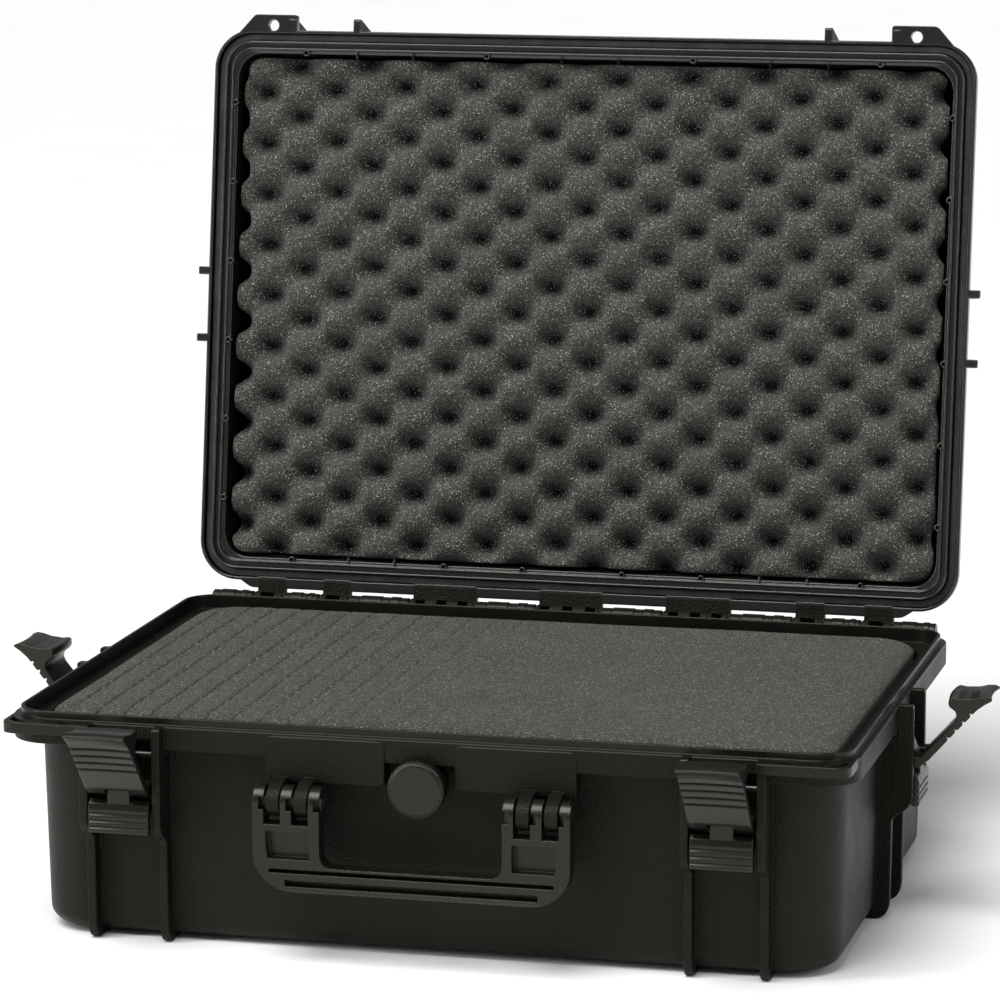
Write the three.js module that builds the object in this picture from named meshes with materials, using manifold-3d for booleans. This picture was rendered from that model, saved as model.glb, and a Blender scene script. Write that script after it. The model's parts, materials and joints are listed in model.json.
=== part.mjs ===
// Hard equipment case: drafted tub and lid shells, side-hooking draw latches, bail handle,
// pressure valve, long rear hinge and foam lining. Millimetres, +Z up, lid shown open.
import * as THREE from 'three';
import { mergeVertices } from 'three/addons/utils/BufferGeometryUtils.js';
import Module from 'manifold-3d';

const wasm = await Module();
wasm.setup();

// ---------------------------------------------------------------- driving dimensions
const RIM = { x: 266.5, y: 191.35, r: 27 };        // half sizes and corner radius of the rim outline
const WALL = { x: 255, y: 180, r: 38 };            // outside of the walls, where they meet the rim
const CAVITY = { x: 251, y: 176, r: 34 };          // inside of the walls, at the rim
const FEET = -2.5;                                 // underside of the feet; heights count from the tub
const TUB_BOTTOM = 0.7;
const FLOOR_TOP = 5;
const FOAM_SPLIT = 18;                             // the foam block rests on the pad at this height
const SKIRT_BOTTOM = 121.5;                        // lower edge of the base rim's skirt
const SHELF_TOP = 131.5;                           // ledge just inside the sealing ridge
const SHELF_THICKNESS = 3.5;
const RIM_TOP = 136.5;                             // flat top of the base rim
const RIDGE = { outer: 4, inner: 6.5, top: 141.3 };  // sealing ridge, insets from the rim outline
const PARTING = 137.4;                             // underside of the closed lid
const LID_FLANGE_TOP = 144.9;
const LID_TOP = 197;
const LID_ROOF = 4;
const GROOVE = { outer: 2.2, inner: 7.8, top: 143.6 };  // gasket groove in the lid rim
const INNER_GROOVE = { outer: 9.8, inner: 14.4, top: 141.4 };
const LID_MOUTH = 16.4;                            // inset of the lid's opening
const GAP = 0.3;                                   // clearance between neighbouring pieces

const HINGE = { y: 205.8, z: 133, r: 8, pinR: 2, boreR: 2.4, half: 254, openAngle: 98.37 };
const CENTRE_Y = 34;                               // middle of the open case, front to back

const RIB = { offset: 23.35, width: 5.5 };         // ribs either side of a latch
const LATCH_Z = 97.4;                              // height of the lever's pivot
const LATCH_OUT = { side: 267, front: 192.7 };     // distance of the lever's pivot from the middle
const LATCH_X = 188.3;                             // front latches, left and right of the middle
const LINK_PIN = { o: -3.9, z: 20.8 };             // the link's pivot, from the lever's pivot
const PIN = { r: 2, bore: 2.4 };
const LEVER_HALF = 19.25;
const LEAN = { front_left: 42, front_right: 42, side_left: 39, side_right: 42 };

const HANDLE = { y: -205, z: 98, half: 98.8, front: -215, bottom: 43.3, boreR: 2.4, pinR: 2 };
const LUG_X = [69.1, 86.7];
const LUG_WIDTH = 8.5;
const VALVE = { z: 108.3, boss: 15.5, bore: 7.4, capR: 17.8 };

// ---------------------------------------------------------------- materials
const material = (color, roughness, metalness = 0) =>
  new THREE.MeshStandardMaterial({ color, roughness, metalness });
const SHELL = 0x262724;
const TRIM = 0x33342f;
const STEEL = 0x9a9a98;

// ---------------------------------------------------------------- geometry helpers
const degrees = THREE.MathUtils.degToRad;

function toSolid(geometry) {
  const bare = geometry.clone();
  bare.deleteAttribute('normal');
  bare.deleteAttribute('uv');
  const merged = mergeVertices(bare, 1e-4);
  return new wasm.Manifold(new wasm.Mesh({
    numProp: 3,
    vertProperties: new Float32Array(merged.attributes.position.array),
    triVerts: new Uint32Array(merged.index.array),
  }));
}

function toGeometry(solid) {
  const mesh = solid.getMesh();
  const geometry = new THREE.BufferGeometry();
  geometry.setAttribute('position', new THREE.BufferAttribute(new Float32Array(mesh.vertProperties), 3));
  geometry.setIndex(new THREE.BufferAttribute(new Uint32Array(mesh.triVerts), 1));
  geometry.computeVertexNormals();
  return geometry;
}

const join = (solids) => solids.reduce((sum, solid) => sum.add(solid));
const cut = (body, tools) => tools.reduce((rest, tool) => rest.subtract(tool), body);
const outline = (points) => new THREE.Shape(points.map(([x, y]) => new THREE.Vector2(x, y)));

function roundedRect(x, y, r) {
  const shape = new THREE.Shape();
  shape.absarc(x - r, y - r, r, 0, Math.PI / 2);
  shape.absarc(r - x, y - r, r, Math.PI / 2, Math.PI);
  shape.absarc(r - x, r - y, r, Math.PI, Math.PI * 1.5);
  shape.absarc(x - r, r - y, r, Math.PI * 1.5, Math.PI * 2);
  shape.closePath();
  return shape;
}

// A rounded rectangle drawn up through levels of [height, inset]: walls with draft and soft edges.
function tub({ x, y, r }, levels, curveSegments = 5) {
  const steps = levels.length - 1;
  const geometry = new THREE.ExtrudeGeometry(roundedRect(x, y, r), {
    depth: 1, steps, bevelEnabled: false, curveSegments,
  });
  const position = geometry.attributes.position;
  for (let i = 0; i < position.count; i += 1) {
    const [height, inset] = levels[Math.round(position.getZ(i) * steps)];
    const centreX = Math.sign(position.getX(i)) * (x - r);
    const centreY = Math.sign(position.getY(i)) * (y - r);
    const shrink = (r - inset) / r;
    position.setXYZ(
      i,
      centreX + (position.getX(i) - centreX) * shrink,
      centreY + (position.getY(i) - centreY) * shrink,
      height,
    );
  }
  return toSolid(geometry);
}

const rimBand = (inset, bottom, top) => tub(RIM, [[bottom, inset], [top, inset]]);
const rimRing = (outer, inner, bottom, top) =>
  rimBand(outer, bottom, top).subtract(rimBand(inner, bottom - 1, top + 1));

function box(x0, x1, y0, y1, z0, z1) {
  const geometry = new THREE.BoxGeometry(x1 - x0, y1 - y0, z1 - z0);
  geometry.translate((x0 + x1) / 2, (y0 + y1) / 2, (z0 + z1) / 2);
  return toSolid(geometry);
}

// A flat outline in plan, raised from z0 to z1.
function slabUp(points, z0, z1) {
  const geometry = new THREE.ExtrudeGeometry(outline(points), { depth: z1 - z0, bevelEnabled: false });
  geometry.translate(0, 0, z0);
  return toSolid(geometry);
}

// A profile drawn in (outward, up), given a width centred on the local Y axis.
function slabSide(shape, width, middle = 0, curveSegments = 8) {
  const geometry = new THREE.ExtrudeGeometry(shape, { depth: width, bevelEnabled: false, curveSegments });
  geometry.translate(0, 0, -width / 2);
  geometry.rotateX(Math.PI / 2);
  geometry.translate(0, middle, 0);
  return geometry;
}

// Cylinder along X, between x0 and x1.
function rodX(radius, x0, x1, y, z, sides = 12) {
  const geometry = new THREE.CylinderGeometry(radius, radius, x1 - x0, sides);
  geometry.rotateZ(Math.PI / 2);
  geometry.translate((x0 + x1) / 2, y, z);
  return geometry;
}

// Cylinder along Y, between y0 and y1.
function rodY(radius, y0, y1, x, z, sides = 12) {
  const geometry = new THREE.CylinderGeometry(radius, radius, y1 - y0, sides);
  geometry.translate(x, (y0 + y1) / 2, z);
  return geometry;
}

const mirrored = (build) => [-1, 1].flatMap((side) => build(side));
const span = (side, a, b) => (side > 0 ? [a, b] : [-b, -a]);

// ---------------------------------------------------------------- latch stations
// Each station looks outward along its local +X; `out` is where the lever's pivot lies.
const STATIONS = [
  { name: 'front_left', turn: -90, out: LATCH_OUT.front, along: -LATCH_X, wall: WALL.y },
  { name: 'front_right', turn: -90, out: LATCH_OUT.front, along: LATCH_X, wall: WALL.y },
  { name: 'side_left', turn: 180, out: LATCH_OUT.side, along: 0, wall: WALL.x },
  { name: 'side_right', turn: 0, out: LATCH_OUT.side, along: 0, wall: WALL.x },
];

function atStation(station, geometry) {
  geometry.rotateZ(degrees(station.turn));
  return geometry;
}

// The rib's outline on the base, in distance from the middle of the case and height.
function baseRib({ out, wall }) {
  const low = out - 5;
  const high = out + 8;
  const inside = wall - 2.2;
  const shape = new THREE.Shape();
  shape.moveTo(inside, SKIRT_BOTTOM + 6);
  shape.lineTo(inside - 2.6, 14);
  shape.lineTo(wall - 14, TUB_BOTTOM + 1.6);
  shape.lineTo(wall - 20, TUB_BOTTOM + 1.6);
  shape.lineTo(wall - 20, FEET);
  shape.lineTo(low - 11, FEET);
  shape.quadraticCurveTo(low - 1, FEET + 0.5, low - 0.6, 11);
  shape.lineTo(low, 61);
  shape.bezierCurveTo(low + 0.8, 67, high - 1, 67, high, 77);
  shape.lineTo(high, RIM_TOP - 1);
  shape.lineTo(high - 1, RIM_TOP);
  shape.lineTo(inside + 3, RIM_TOP);
  shape.lineTo(inside + 3, SKIRT_BOTTOM + 6);
  return shape;
}

function lidRib({ out, wall }) {
  const low = out - 5;
  const high = out + 7;
  const inside = wall - 2.2;
  const shape = new THREE.Shape();
  shape.moveTo(inside + 4, PARTING);
  shape.lineTo(high, PARTING);
  shape.lineTo(high, 152);
  shape.bezierCurveTo(high - 1, 163, low + 0.8, 162, low, 168);
  shape.lineTo(low - 0.8, 184);
  shape.quadraticCurveTo(low - 1.5, 191, wall - 8, 192);
  shape.lineTo(inside - 2, 180);
  shape.lineTo(inside, LID_FLANGE_TOP);
  shape.lineTo(inside + 4, LID_FLANGE_TOP - 1);
  return shape;
}

const ribsAt = (station, profile) =>
  [-RIB.offset, RIB.offset].map((offset) => {
    const middle = station.turn === -90 ? station.along + offset : offset;
    return toSolid(atStation(station, slabSide(profile(station), RIB.width, middle, 4)));
  });

// The pocket between a pair of ribs where the link swings.
function latchPocket(station) {
  const middle = station.turn === -90 ? station.along : 0;
  const half = RIB.offset - RIB.width / 2;
  const geometry = new THREE.BoxGeometry(30, half * 2, SHELF_TOP - SHELF_THICKNESS - SKIRT_BOTTOM + 2);
  geometry.translate(station.wall + 15, middle, (SHELF_TOP - SHELF_THICKNESS + SKIRT_BOTTOM - 2) / 2);
  return toSolid(atStation(station, geometry));
}

function linkPinBore(station) {
  const middle = station.turn === -90 ? station.along : 0;
  const half = RIB.offset + RIB.width;
  const geometry = rodY(PIN.bore, middle - half, middle + half, station.out + LINK_PIN.o, LATCH_Z + LINK_PIN.z);
  return toSolid(atStation(station, geometry));
}

// ---------------------------------------------------------------- hinge
const BASE_BARRELS = [[22.5, 66], [112, 156], [177, 203], [224, HINGE.half]];
const LID_KNUCKLES = [[66, 112], [156, 177], [203, 224]];
const END_GAP = 0.4;

const hingeBarrel = (x0, x1) => toSolid(rodX(HINGE.r, x0, x1, HINGE.y, HINGE.z, 14));

function baseBarrel(side, [a, b]) {
  const [x0, x1] = span(side, a + END_GAP, b - END_GAP);
  const web = box(x0, x1, RIM.y - 3, HINGE.y, HINGE.z - HINGE.r, RIM_TOP);
  return [hingeBarrel(x0, x1), web];
}

function lidKnuckle(x0, x1) {
  const web = box(x0, x1, RIM.y - 3, HINGE.y + 3, PARTING, PARTING + 4);
  return [hingeBarrel(x0, x1), web];
}

// Windows in a knuckle's barrel that show the pin, on the side facing forward when the lid is open.
function knuckleSlot(middle, width) {
  const geometry = new THREE.BoxGeometry(width, HINGE.r * 1.1, 9);
  geometry.translate(middle, 0, HINGE.r / 2 + 1);
  geometry.rotateX(degrees(45 + HINGE.openAngle));
  geometry.translate(0, HINGE.y, HINGE.z);
  return toSolid(geometry);
}

// ---------------------------------------------------------------- base shell
function padlockPlate(side) {
  const corner = [[208, -183], [208, -202], [257, -202], [262.7, -199.7], [265, -194], [265, -160]];
  const plate = slabUp(mirrorPlan(corner, side), RIM_TOP - 7, RIM_TOP);
  return plate.subtract(rimBand(LID_MOUTH, RIM_TOP - 9, RIM_TOP + 1));
}

function mirrorPlan(points, side) {
  return points.map(([x, y]) => [side * x, y]);
}

function padlockHole(side, z0, z1) {
  const geometry = new THREE.CylinderGeometry(4, 4, z1 - z0, 20);
  geometry.rotateX(Math.PI / 2);
  geometry.translate(side * 225, -194.5, (z0 + z1) / 2);
  return toSolid(geometry);
}

function cornerPocket(side) {
  const points = [[248, -198.5], [256, -198.5], [261.5, -193], [261.5, -184], [257.5, -190]];
  return slabUp(mirrorPlan(points, side), RIM_TOP - 4.5, RIM_TOP + 1);
}

function handleLug(middle) {
  const shape = new THREE.Shape();
  shape.moveTo(WALL.y - 2, HANDLE.z + 12);
  shape.lineTo(WALL.y - 2, HANDLE.z - 8);
  shape.lineTo(-HANDLE.y, HANDLE.z - 9.3);
  shape.absarc(-HANDLE.y, HANDLE.z, 9.3, -Math.PI / 2, Math.PI * 0.42);
  shape.lineTo(-HANDLE.y - 4, HANDLE.z + 12);
  const geometry = slabSide(shape, LUG_WIDTH, middle, 7);
  geometry.rotateZ(-Math.PI / 2);
  return toSolid(geometry);
}

function backRib(middle) {
  const inside = WALL.y - 2.2;
  const low = WALL.y + 12;
  const shape = new THREE.Shape();
  shape.moveTo(inside, SKIRT_BOTTOM + 1);
  shape.lineTo(inside - 2.6, 14);
  shape.lineTo(WALL.y - 14, TUB_BOTTOM + 1.6);
  shape.lineTo(WALL.y - 20, TUB_BOTTOM + 1.6);
  shape.lineTo(WALL.y - 20, FEET);
  shape.lineTo(low - 11, FEET);
  shape.quadraticCurveTo(low - 1, FEET + 0.5, low - 0.6, 11);
  shape.lineTo(low, SKIRT_BOTTOM - 12);
  shape.lineTo(RIM.y - 1, SKIRT_BOTTOM + 1);
  const geometry = slabSide(shape, RIB.width, -middle, 3);
  geometry.rotateZ(Math.PI / 2);
  return toSolid(geometry);
}

function baseShell() {
  const walls = tub(WALL, [[TUB_BOTTOM, 10], [2, 6], [5, 3.8], [11, 3], [SHELF_TOP, 0]]);
  const skirt = rimBand(0, SKIRT_BOTTOM, RIM_TOP);
  const skirtHollow = rimBand(3, SKIRT_BOTTOM - 1, SHELF_TOP - SHELF_THICKNESS);
  const ridge = rimRing(RIDGE.outer, RIDGE.inner, RIM_TOP - 1, RIDGE.top);
  const rim = join([skirt.subtract(skirtHollow), ridge]);
  const panels = mirrored((side) => {
    const [x0, x1] = span(side, 22, 97.5);
    return [box(x0, x1, -RIM.y + 0.2, -WALL.y + 1.5, HANDLE.z + 9, SKIRT_BOTTOM + 2)];
  });
  const body = cut(join([walls, rim]), STATIONS.map(latchPocket));
  const additions = [
    ...mirrored((side) => [padlockPlate(side)]),
    ...STATIONS.flatMap((station) => ribsAt(station, baseRib)),
    ...[-210.6, -163.9, 163.9, 210.6].map(backRib),
    ...panels,
    ...mirrored((side) => LUG_X.map((x) => handleLug(side * x))),
    ...mirrored((side) => BASE_BARRELS.flatMap((pair) => baseBarrel(side, pair))),
    toSolid(rodY(VALVE.boss, -190, -WALL.y + 2, 0, VALVE.z, 24)),
  ];
  return cut(join([body, ...additions]), [
    tub(CAVITY, [[FLOOR_TOP, 9], [FLOOR_TOP + 3, 4.5], [FLOOR_TOP + 10, 2.6], [SHELF_TOP + 1, 0]]),
    rimBand(RIDGE.inner, SHELF_TOP, RIDGE.top + 1),
    ...mirrored((side) => [padlockHole(side, RIM_TOP - 9, RIM_TOP + 1), cornerPocket(side)]),
    ...STATIONS.map(linkPinBore),
    ...mirrored((side) => [toSolid(rodX(HANDLE.boreR, ...span(side, 56, 97.2), HANDLE.y, HANDLE.z))]),
    toSolid(rodX(HINGE.boreR, -HINGE.half - 1, HINGE.half + 1, HINGE.y, HINGE.z)),
    toSolid(rodY(VALVE.bore, -195, -CAVITY.y + 3, 0, VALVE.z, 16)),
  ]);
}

// ---------------------------------------------------------------- lid shell
function lidPlate(side) {
  const points = [[208, -180], [208, -202], [238.5, -202], [266, -171], [262, -160], [240, -180]];
  return slabUp(mirrorPlan(points, side), PARTING, PARTING + 6);
}

function lidShell() {
  const walls = tub(WALL, [
    [LID_FLANGE_TOP - 1, 0], [186, 3], [192, 5], [195, 8.5], [LID_TOP - 1.2, 13],
  ]);
  const crown = tub({ x: WALL.x - 24, y: WALL.y - 24, r: 26 }, [[LID_TOP - 3, 0], [LID_TOP - 0.6, 0], [LID_TOP, 1.5]]);
  const flange = rimBand(0, PARTING, LID_FLANGE_TOP);
  const body = join([
    walls,
    crown,
    flange,
    ...mirrored((side) => [lidPlate(side)]),
    ...STATIONS.flatMap((station) => ribsAt(station, lidRib)),
    ...lidKnuckle(-22.5 + END_GAP, 22.5 - END_GAP),
    ...mirrored((side) => LID_KNUCKLES.flatMap(([a, b]) => lidKnuckle(...span(side, a + END_GAP, b - END_GAP)))),
  ]);
  return cut(body, [
    tub(CAVITY, [[LID_FLANGE_TOP - 0.5, 1], [184, 4], [190, 6.5], [LID_TOP - LID_ROOF, 11]]),
    rimBand(LID_MOUTH, PARTING - 1, LID_FLANGE_TOP),
    rimRing(GROOVE.outer, GROOVE.inner, PARTING - 1, GROOVE.top),
    rimRing(INNER_GROOVE.outer, INNER_GROOVE.inner, PARTING - 1, INNER_GROOVE.top),
    ...mirrored((side) => [padlockHole(side, PARTING - 1, PARTING + 7)]),
    ...[-16, 0, 16].map((x) => knuckleSlot(x, 7)),
    ...mirrored((side) => [74, 89, 104].map((x) => knuckleSlot(side * x, 7))),
    ...mirrored((side) => [166.5, 213.5].map((x) => knuckleSlot(side * x, 10))),
    toSolid(rodX(HINGE.boreR, -HINGE.half - 1, HINGE.half + 1, HINGE.y, HINGE.z)),
  ]);
}

// ---------------------------------------------------------------- latch pieces, about the lever's pivot
const groove = (x, z) => [[x, z + 1], [x - 1.1, z + 0.2], [x - 0.3, z - 0.9]];

function linkSolid() {
  const face = 11.3;
  const plate = outline([
    [7, -6.2], [10, -8.4], [face, -12],
    ...groove(face, -15), ...groove(face, -19.5), ...groove(face, -23),
    [face, -26.2], [10.3, -27.2], [7, -27.2], [6, -26.2], [6, -15.5], [-1, -10.5], [-1, -6.2],
  ]);
  const arm = new THREE.Shape();
  arm.moveTo(10, -9);
  arm.lineTo(10, 1.5);
  arm.lineTo(6, 6);
  arm.lineTo(3.2, 14);
  arm.absarc(LINK_PIN.o, LINK_PIN.z, 6.3, 0, Math.PI);
  arm.lineTo(-6.5, 0);
  arm.lineTo(-4, -8);
  arm.lineTo(2, -12);
  arm.lineTo(8, -12);
  return cut(toSolid(slabSide(plate, LEVER_HALF * 2)).add(toSolid(slabSide(arm, 14.3, 0, 6))), [
    toSolid(rodY(PIN.bore, -10, 10, 0, 0)),
    toSolid(rodY(PIN.bore, -10, 10, LINK_PIN.o, LINK_PIN.z)),
  ]);
}

function leverSolid() {
  const knuckle = toSolid(rodY(5, -LEVER_HALF, LEVER_HALF, 0, 0, 14));
  const arm = outline([
    [-3, 3.6], [5.5, 11], [5.5, 42.5], [4.6, 45.8], [1.7, 48.2], [-3.6, 47.8], [-5.5, 49], [-7.2, 52],
    [-6.2, 53.4], [-2.6, 55.7], [0.4, 58.8], [3, 61.3], [6, 65.8], [9.2, 69.1], [12.6, 70.2], [13.1, 69.2],
    [11.6, 64.5], [10.5, 59], [10.3, 56],
    ...groove(10.4, 53.5), ...groove(10.4, 46.4), ...groove(10.4, 39.3), ...groove(10.4, 32.2),
    [10.6, 14], [9.6, 6], [5, -0.8], [1.5, -4.6],
  ]);
  return cut(knuckle.add(toSolid(slabSide(arm, LEVER_HALF * 2))), [
    box(-12, 14, -7.8, 7.8, -8, 11.2),
    toSolid(rodY(PIN.bore, -LEVER_HALF + 1.2, LEVER_HALF - 1.2, 0, 0)),
  ]);
}

// ---------------------------------------------------------------- handle
function handleSolid() {
  const front = new THREE.Shape();
  const { half, bottom, z } = HANDLE;
  const top = z + 11;
  const inner = half - 41.8;
  const gripTop = 59.5;
  front.moveTo(-half, top - 3);
  front.lineTo(-half, 66);
  front.bezierCurveTo(-half, 54, 12 - half, bottom, 26 - half, bottom);
  front.lineTo(half - 26, bottom);
  front.bezierCurveTo(half - 12, bottom, half, 54, half, 66);
  front.lineTo(half, top - 3);
  front.lineTo(half - 3, top);
  front.lineTo(inner, top);
  front.lineTo(inner, 68);
  front.quadraticCurveTo(inner - 0.6, gripTop, inner - 9.2, gripTop);
  front.lineTo(9.2 - inner, gripTop);
  front.quadraticCurveTo(0.6 - inner, gripTop, -inner, 68);
  front.lineTo(-inner, top);
  front.lineTo(3 - half, top);
  const plate = new THREE.ExtrudeGeometry(front, { depth: 30, bevelEnabled: false, curveSegments: 5 });
  plate.rotateX(Math.PI / 2);
  plate.translate(0, HANDLE.y + 12, 0);
  const side = new THREE.Shape();
  side.moveTo(203, 84);
  side.lineTo(203, 61);
  side.lineTo(201, 57);
  side.lineTo(201, 47);
  side.lineTo(204, bottom - 1);
  side.lineTo(212.6, bottom - 1);
  side.lineTo(-HANDLE.front, 46);
  side.lineTo(-HANDLE.front, z);
  side.absarc(-HANDLE.y, z, 10, 0, Math.PI);
  const profile = slabSide(side, half * 2 + 2, 0, 7);
  profile.rotateZ(-Math.PI / 2);
  const grooves = [[58, 55.2, 89], [51.2, 47, 79]].map(([z1, z0, reach]) =>
    box(-reach, reach, HANDLE.front - 1, HANDLE.front + 7, z0, z1));
  const arms = mirrored((hand) => [
    ...LUG_X.map((x) => box(hand * x - 5.35, hand * x + 5.35, -230, -190, 85.3, top + 1)),
    ...[91.3, 74, 56.7].map((x) =>
      box(...span(hand, x, x + 4), HANDLE.front - 1, HANDLE.front + 7, z - 3.8, z + 3.8)),
    slabFront(hand, [[62.8, 81.4], [90.8, 81.4], [90.8, 72], [89.5, 64], [62.8, 64]]),
    toSolid(rodX(HANDLE.boreR, ...span(hand, 56, 97.2), HANDLE.y, z)),
  ]);
  return cut(toSolid(plate).intersect(toSolid(profile)), [...grooves, ...arms]);
}

// A recess cut back from the handle's front face.
function slabFront(hand, points) {
  const shape = outline(points.map(([x, z]) => [hand * x, z]));
  const geometry = new THREE.ExtrudeGeometry(shape, { depth: 8, bevelEnabled: false });
  geometry.rotateX(Math.PI / 2);
  geometry.translate(0, HANDLE.front + 7, 0);
  return toSolid(geometry);
}

// ---------------------------------------------------------------- turned pieces, axis along -Y
function turned(profile, segments) {
  const points = profile.map(([radius, y]) => new THREE.Vector2(radius, y));
  const geometry = new THREE.LatheGeometry(points, segments);
  geometry.translate(0, 0, VALVE.z);
  return toSolid(geometry);
}

const valveCap = () => turned([
  [0, -203], [15.6, -203], [16.6, -202.2], [VALVE.capR, -201.4], [VALVE.capR, -194], [17, -193],
  [15.2, -193], [15.2, -196.2], [0, -196.2], [0, -203],
], 30);
const valveBody = () => turned([
  [0, -195.6], [12.4, -195.6], [12.4, -192.4], [7, -192.4], [7, -174.4], [0, -174.4], [0, -195.6],
], 24);
const valveSeal = () => turned([
  [8, -192.1], [12.2, -192.1], [12.2, -190.3], [8, -190.3], [8, -192.1],
], 24);

// ---------------------------------------------------------------- assembly
const equipmentCase = new THREE.Group();
equipmentCase.position.set(0, -CENTRE_Y, -FEET);

function addPiece(name, solid, look, parent = equipmentCase) {
  const geometry = solid.isBufferGeometry ? solid : toGeometry(solid);
  const mesh = new THREE.Mesh(geometry, material(...look));
  mesh.name = name;
  parent.add(mesh);
  return mesh;
}

const SHELL_LOOK = [SHELL, 0.55];
const TRIM_LOOK = [TRIM, 0.45];
const STEEL_LOOK = [STEEL, 0.3, 1];
const FOAM_LOOK = [0x4d4a48, 0.95];

addPiece('base_shell', baseShell(), SHELL_LOOK);
addPiece('base_foam_pad', tub({ x: 246, y: 171, r: 30 }, [[FLOOR_TOP + GAP, 6], [FLOOR_TOP + 10, 0], [FOAM_SPLIT - GAP, 0]]), FOAM_LOOK);
addPiece('base_foam_block', tub({ x: 248, y: 173, r: 30 }, [[FOAM_SPLIT, 1], [134, 0], [139.5, 2]]), FOAM_LOOK);
addPiece('valve_body', valveBody(), TRIM_LOOK);
addPiece('valve_seal', valveSeal(), [0x1c1c1c, 0.8]);
addPiece('valve_cap', valveCap(), TRIM_LOOK);
addPiece('handle', handleSolid(), TRIM_LOOK);
for (const [word, side] of [['left', -1], ['right', 1]]) {
  addPiece(`handle_pin_${word}`, rodX(HANDLE.pinR, ...span(side, 57.3, 96.8), HANDLE.y, HANDLE.z), STEEL_LOOK);
  const [x0, x1] = span(side, 0.5, HINGE.half - 0.5);
  addPiece(`hinge_pin_${word}`, rodX(HINGE.pinR, x0, x1, HINGE.y, HINGE.z), STEEL_LOOK);
}

// The lid is built closed about the hinge axis, then swung open.
const lid = new THREE.Group();
lid.position.set(0, HINGE.y, HINGE.z);
lid.rotation.x = -degrees(HINGE.openAngle);
const lidParts = new THREE.Group();
lidParts.position.set(0, -HINGE.y, -HINGE.z);
lid.add(lidParts);
equipmentCase.add(lid);
addPiece('lid_shell', lidShell(), SHELL_LOOK, lidParts);
addPiece('lid_gasket', rimRing(GROOVE.outer + 0.4, GROOVE.inner - 0.4, RIDGE.top + GAP, GROOVE.top - GAP),
  [0x4a4a48, 0.8], lidParts);
addPiece('lid_foam', tub({ x: 244, y: 169, r: 30 }, [[143, 0], [184, 0], [189, 3.5], [LID_TOP - LID_ROOF - GAP, 6]]),
  FOAM_LOOK, lidParts);

for (const station of STATIONS) {
  const { name, turn, out, along } = station;
  const place = new THREE.Group();
  place.rotation.z = degrees(turn);
  equipmentCase.add(place);
  const link = new THREE.Group();
  link.position.set(out, along, LATCH_Z);
  place.add(link);
  addPiece(`latch_link_${name}`, linkSolid(), TRIM_LOOK, link);
  addPiece(`lever_pin_${name}`, rodY(PIN.r, -17.8, 17.8, 0, 0), STEEL_LOOK, link);
  addPiece(`link_pin_${name}`, rodY(PIN.r, -25.9, 25.9, LINK_PIN.o, LINK_PIN.z), STEEL_LOOK, link);
  const lever = new THREE.Group();
  lever.position.copy(link.position);
  lever.rotation.y = degrees(LEAN[name]);
  place.add(lever);
  addPiece(`latch_lever_${name}`, leverSolid(), TRIM_LOOK, lever);
}

export default equipmentCase;
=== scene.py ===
"""Looks of the hard equipment case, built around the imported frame.

Shapes are drawn in design millimetres: X right, Y back, Z up, with the case closed or open as
the CAD draws it. finish_piece() turns them into metres in the frame's own coordinates."""

import json
import math
import random
from collections import namedtuple

import bmesh
import bpy
from mathutils import Matrix, Vector, noise


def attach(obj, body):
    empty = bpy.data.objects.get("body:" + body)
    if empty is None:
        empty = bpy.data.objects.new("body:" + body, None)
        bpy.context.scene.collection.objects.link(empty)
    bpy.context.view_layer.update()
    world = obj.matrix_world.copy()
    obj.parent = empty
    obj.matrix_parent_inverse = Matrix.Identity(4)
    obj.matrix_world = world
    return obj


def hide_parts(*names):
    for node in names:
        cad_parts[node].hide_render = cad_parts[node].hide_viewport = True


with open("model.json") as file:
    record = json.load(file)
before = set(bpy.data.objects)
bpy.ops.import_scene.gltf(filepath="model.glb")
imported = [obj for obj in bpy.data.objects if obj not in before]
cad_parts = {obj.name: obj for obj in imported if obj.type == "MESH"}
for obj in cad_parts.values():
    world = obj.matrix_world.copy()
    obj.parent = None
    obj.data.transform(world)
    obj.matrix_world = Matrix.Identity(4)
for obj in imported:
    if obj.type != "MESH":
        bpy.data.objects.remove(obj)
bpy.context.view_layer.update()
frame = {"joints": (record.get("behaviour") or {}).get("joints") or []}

# ---- driving dimensions
MM = 0.001

# outlines of rounded rectangles: half width, half depth and corner radius
RIM = (266.5, 191.35, 27.0)
WALL = (255.0, 180.0, 38.0)
CAVITY = (251.0, 176.0, 34.0)
CROWN = (231.0, 156.0, 26.0)
LID_CAVITY = (251.0, 176.0, 26.0)
LID_NECK = (255.0, 180.0, 28.0)
LID_MOUTH = (251.0, 176.0, 18.0)
BLOCK_OUTLINE = (248.0, 173.0, 30.0)
PAD_OUTLINE = (246.0, 171.0, 30.0)
LID_FOAM_OUTLINE = (247.6, 172.6, 13.0)
RIM_CORNER = (239.5, -164.35)

# heights, hinge, latches, handle and valve
FEET = -2.5
TUB_BOTTOM = 0.7
FLOOR_TOP = 5.0
SKIRT_BOTTOM = 121.5
SHELF_TOP = 131.5
SHELF_UNDER = 128.0
RIM_TOP = 136.5
RIDGE_TOP = 141.3
PARTING = 137.4
LID_FLANGE_TOP = 144.9
HINGE_Y = 205.8
HINGE_Z = 133.0
HINGE_R = 8.0
HINGE_HALF = 254.0
OPEN_ANGLE = 98.37
RIB_OFFSET = 23.35
RIB_WIDTH = 5.5
LATCH_Z = 97.4
LINK_PIN = (-3.9, 20.8)
LEVER_HALF = 19.25
HANDLE_Y = -205.0
HANDLE_Z = 98.0
HANDLE_HALF = 98.8
HANDLE_FRONT = -215.0
HANDLE_BOTTOM = 43.3
LUG_X = (69.1, 86.7)
VALVE_Z = 108.3
VALVE_R = 17.8
PADLOCK_X = 225
PADLOCK_Y = -194.5
PADLOCK_R = 4
PIN_R = 2.0
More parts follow.
